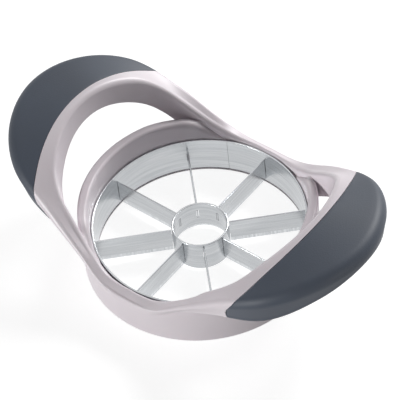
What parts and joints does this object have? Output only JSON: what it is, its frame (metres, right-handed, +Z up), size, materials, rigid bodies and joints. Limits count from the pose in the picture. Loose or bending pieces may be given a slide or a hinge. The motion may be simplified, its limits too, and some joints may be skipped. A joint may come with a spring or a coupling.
{
  "type": "apple slicer",
  "caption": "Push-down apple slicer: a round frame with two raised, soft-covered loop handles round a star of steel blades and a coring tube.",
  "frame": {"origin": "centre of the ring's bottom edge, on the surface that the slicer stands on", "axes": "+Z up along the coring tube, +X through the two handles, +Y across them"},
  "size_m": [0.1812, 0.1056, 0.0579],
  "materials": {
    "white_plastic": "satin",
    "soft_grip": "matt",
    "stainless_steel": "satin"
  },
  "bodies": {
    "root": {"frame": "white_plastic", "grip_right": "soft_grip", "grip_left": "soft_grip", "blade_band": "stainless_steel", "core_tube": "stainless_steel", "blade_1": "stainless_steel", "blade_2": "stainless_steel", "blade_3": "stainless_steel", "blade_4": "stainless_steel", "blade_5": "stainless_steel", "blade_6": "stainless_steel", "blade_7": "stainless_steel", "blade_8": "stainless_steel"}
  },
  "joints": []
}
